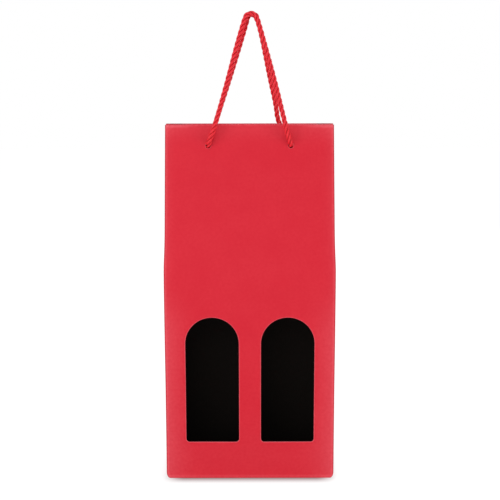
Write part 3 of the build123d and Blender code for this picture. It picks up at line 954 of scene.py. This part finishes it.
def makePlate(node, xs, low, high, place, faces=(red, black), steps=9):
    # A flat piece of board between two lines, low(x) and high(x), each given as (x, y) corners; place takes
    # (x, y, depth below the outer face) to a point
    xs = np.array(xs) * mm
    low, high = np.array(low) * mm, np.array(high) * mm

    def outer(c, t):
        # the share t of the way from the low line to the high one
        first, last = np.interp(c, *low.T), np.interp(c, *high.T)
        return c, first + (last - first) * t, c * 0

    def inner(c, t):
        # the same, a board deeper
        x, y, n = outer(c, t)
        return x, y, n + board

    surfaces = boardShell(place, xs, np.linspace(0, 1, steps), outer, inner, faces=faces)
    piece = buildPiece(node + "Plate", surfaces, boardMaterials)
    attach(piece, "box")
    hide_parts(node)


def floorPlace(level, turned=1):
    # outer face down, at this level; the back and left flaps are the front and right ones turned half round
    return lambda x, y, n: settle(turned * x, turned * y, level + n)


# the flaps' corners in millimetres
longLines = sorted([-88.2, -10.15, 9.85, 88.2, *range(-80, 0, 10), *range(0, 81, 10)])
for name, turned in (("front", 1), ("back", -1)):
    makePlate(f"bottom_{name}_flap", longLines, [(-88.2, -43.5), (88.2, -43.5)],
              [(-88.2, 8.85), (-10.15, 8.85), (9.85, -9.15), (88.2, -9.15)], floorPlace(0.0, turned))
for name, turned in (("right", 1), ("left", -1)):
    makePlate(f"bottom_{name}_flap", np.linspace(46.2, 88.2, 9), [(46.2, -0.9), (88.2, -42.9)],
              [(46.2, 30.2), (88.2, 43.2)], floorPlace(board, turned))
    makePlate(f"bottom_{name}_glue_tab", np.linspace(46.2, 87.4, 9), [(46.2, -43.2), (87.4, -43.2)],
              [(46.2, -1.5), (87.9, -43.2)], floorPlace(board, turned))

backWall, frontWall = panelPlace(1), panelPlace(-1)
flapLines = [-88.5, -86, -84, -82, -80, -78, -76, -74, -72.5]
makePlate("glue_flap", flapLines, [(-88.5, 3.3), (-72.5, 11.3)], [(-88.5, 220.7), (-72.5, 212.7)],
          lambda x, s, n: backWall(x, s, n + board), steps=33)


def dividerPlace(y, s, n):
    # a wall across the box; its ends follow the pillow of the walls that it stands between
    reach = 1 + pillow(n * 0, s) / innerHalf
    return settle(n - board / 2, y * reach, s)


makePlate("divider_wall", np.linspace(-43.5, 43.5, 13), [(-44, 1.5), (44, 1.5)], [(-44, 191.5), (44, 191.5)],
          dividerPlace, (black, black), 33)
for name, wall, hand in (("front", frontWall, 1), ("back", backWall, -1)):
    makePlate(f"divider_{name}_flange", [0.75, 3.25, 5.75, 8.25, 10.75], [(0, 1.5), (12, 1.5)],
              [(0, 191.5), (12, 191.5)], lambda x, s, n: wall(hand * x, s, n + board),
              (black, black), 33)
print("flaps and divider made")


# Floor, backdrop and light
studio = {
    "paper": 0.20, "paperForLight": 0.92, "lift": 0.90, "sky": 0.52, "shadeDepth": 0.66, "shadeCurve": 1.2,
    "shadeStart": 0.4 * mm, "shadeReach": 18 * mm,      # painted shade on the floor, both in front of the foot, and behind it
    "fadeFrom": 70 * mm, "fadeTo": 99 * mm,             # sideways, from the middle of the box
    "under": 6 * mm,            # the floor is painted dark from this far inside the foot
    "paintedRedBounce": 0.32,             # painted red bounce light: share of green and blue that the red foot takes from the paper beside it
    "bounceCurve": 2.5, "floorHalf": 5.0, "floorLevel": -0.1 * mm,
    "key": {"at": (-0.4, -1.7, 0.55), "aim": (0, 0, 0.15), "size": 1.0, "power": 4.0},
    "left": {"at": (-1.4, -0.85, 0.42), "aim": (0, 0, 0.1), "size": 0.8, "power": 8.6},
    "right": {"at": (1.4, -0.8, 0.42), "aim": (0, 0, 0.1), "size": 0.8, "power": 7.6},
    "above": {"at": (0.0, -0.5, 1.5), "aim": (0, 0, 0.3), "size": 0.4, "power": 2.2},
    "back": {"at": (0.5, 1.6, 1.0), "aim": (0, 0, 0.2), "size": 1.1, "power": 13.0},
}


def makeFloor():
    # A white paper sweep: matt, and lifted for the camera so that it meets the white background without an
    # edge, with a painted shade at the foot of the box, in front of it and behind it, and painted red bounce
    # light
    material = bpy.data.materials.new("whitePaperSweep")
    material.use_nodes = True
    tree = material.node_tree
    tree.nodes.clear()
    # painted shade beside the foot: the share of the light that is left is 1 - depth (1 - d / reach)^curve,
    # where d is how far a point of the floor lies in front of the box or behind it, and fading out towards
    # its sides
    place = addNode(tree, "ShaderNodeNewGeometry")
    apart = addNode(tree, "ShaderNodeSeparateXYZ", {0: place.outputs["Position"]})
    size = [addNode(tree, "ShaderNodeMath", {0: apart.outputs[k]}, operation="ABSOLUTE").outputs[0]
            for k in (0, 1)]
    run = addNode(tree, "ShaderNodeMapRange", {
        "Value": size[1], "From Min": box["halfDepth"] + studio["shadeStart"],
        "From Max": box["halfDepth"] + studio["shadeReach"],
        "To Min": 1.0, "To Max": 0.0})
    width = addNode(tree, "ShaderNodeMapRange", {
        "Value": size[0], "From Min": studio["fadeFrom"], "From Max": studio["fadeTo"],
        "To Min": studio["shadeDepth"], "To Max": 0.0}, interpolation_type="SMOOTHSTEP")
    curved = addNode(tree, "ShaderNodeMath", {0: run.outputs[0], 1: studio["shadeCurve"]}, operation="POWER")
    shade = addNode(tree, "ShaderNodeMath", {0: curved.outputs[0], 1: width.outputs[0]}, operation="MULTIPLY")
    # and the paper is painted dark under the box, where a slit between two flaps would show it
    edge = [box[half] - studio["under"] for half in ("halfWidth", "halfDepth")]
    inside = [addNode(tree, "ShaderNodeMath", {0: size[k], 1: edge[k]}, operation="LESS_THAN").outputs[0]
              for k in (0, 1)]
    under = addNode(tree, "ShaderNodeMath", {0: inside[0], 1: inside[1]}, operation="MULTIPLY")
    darkest = addNode(tree, "ShaderNodeMath", {0: shade.outputs[0], 1: under.outputs[0]}, operation="MAXIMUM")
    left = addNode(tree, "ShaderNodeMath", {0: 1.0, 1: darkest.outputs[0]}, operation="SUBTRACT")
    seen = addNode(tree, "ShaderNodeLightPath")
    shown = addNode(tree, "ShaderNodeMath", {0: left.outputs[0], 1: studio["paper"]}, operation="MULTIPLY")
    level = addNode(tree, "ShaderNodeMapRange", {
        "Value": seen.outputs["Is Camera Ray"], "To Min": studio["paperForLight"],
        "To Max": shown.outputs[0]})
    grey = addNode(tree, "ShaderNodeCombineColor", {k: level.outputs[0] for k in range(3)})
    paper = addNode(tree, "ShaderNodeBsdfDiffuse", {"Color": grey.outputs[0]})
    lift = addNode(tree, "ShaderNodeMath", {
        0: seen.outputs["Is Camera Ray"], 1: studio["lift"]}, operation="MULTIPLY")
    lifted = addNode(tree, "ShaderNodeMath", {0: lift.outputs[0], 1: left.outputs[0]}, operation="MULTIPLY")
    # painted red bounce light from the foot on the paper: 1 - bounce (share of the full painted shade)^curve
    # in green and blue
    near = addNode(tree, "ShaderNodeMath", {0: shade.outputs[0], 1: studio["shadeDepth"]}, operation="DIVIDE")
    nearest = addNode(tree, "ShaderNodeMath", {
        0: near.outputs[0], 1: studio["bounceCurve"]}, operation="POWER")
    cool = addNode(tree, "ShaderNodeMapRange", {
        "Value": nearest.outputs[0], "To Min": 1.0, "To Max": 1 - studio["paintedRedBounce"]})
    tint = addNode(tree, "ShaderNodeCombineColor", {0: 1.0, 1: cool.outputs[0], 2: cool.outputs[0]})
    glow = addNode(tree, "ShaderNodeEmission", {"Color": tint.outputs[0], "Strength": lifted.outputs[0]})
    total = addNode(tree, "ShaderNodeAddShader", {0: paper.outputs[0], 1: glow.outputs[0]})
    addNode(tree, "ShaderNodeOutputMaterial", {"Surface": total.outputs[0]})
    mesh = bpy.data.meshes.new("paperSweep")
    reach, level = studio["floorHalf"], studio["floorLevel"]
    corners = [(-reach, -reach, level), (reach, -reach, level), (reach, reach, level), (-reach, reach, level)]
    mesh.from_pydata(corners, [], [(0, 1, 2, 3)])
    mesh.materials.append(material)
    floor = bpy.data.objects.new("paperSweep", mesh)
    bpy.context.scene.collection.objects.link(floor)


def makeLamp(name, at, aim, size, power):
    # a square soft box of this size in metres and power in watts, turned towards the point it is aimed at
    lamp = bpy.data.lights.new(name, "AREA")
    lamp.shape, lamp.size, lamp.energy = "SQUARE", size, power
    holder = bpy.data.objects.new(name, lamp)
    holder.location = at
    way = np.array(aim) - np.array(at)
    flat = np.hypot(way[0], way[1])
    holder.rotation_euler = (np.arctan2(flat, -way[2]), 0, np.arctan2(-way[0], way[1]))
    bpy.context.scene.collection.objects.link(holder)


def makeWorld():
    # white for the camera, and a dimmer white for the light that the room throws on the box
    world = bpy.data.worlds.new("paleRoom")
    world.use_nodes = True
    tree = world.node_tree
    tree.nodes.clear()
    seen = addNode(tree, "ShaderNodeLightPath")
    level = addNode(tree, "ShaderNodeMapRange", {
        "Value": seen.outputs["Is Camera Ray"], "To Min": studio["sky"], "To Max": 1.0})
    air = addNode(tree, "ShaderNodeBackground", {"Color": (1, 1, 1, 1), "Strength": level.outputs[0]})
    addNode(tree, "ShaderNodeOutputWorld", {"Surface": air.outputs[0]})
    bpy.context.scene.world = world


makeFloor()
for name in ("key", "left", "right", "above", "back"):
    makeLamp(name + "Light", **studio[name])
makeWorld()
bpy.context.scene.view_settings.view_transform = "Standard"
print("floor and light made")
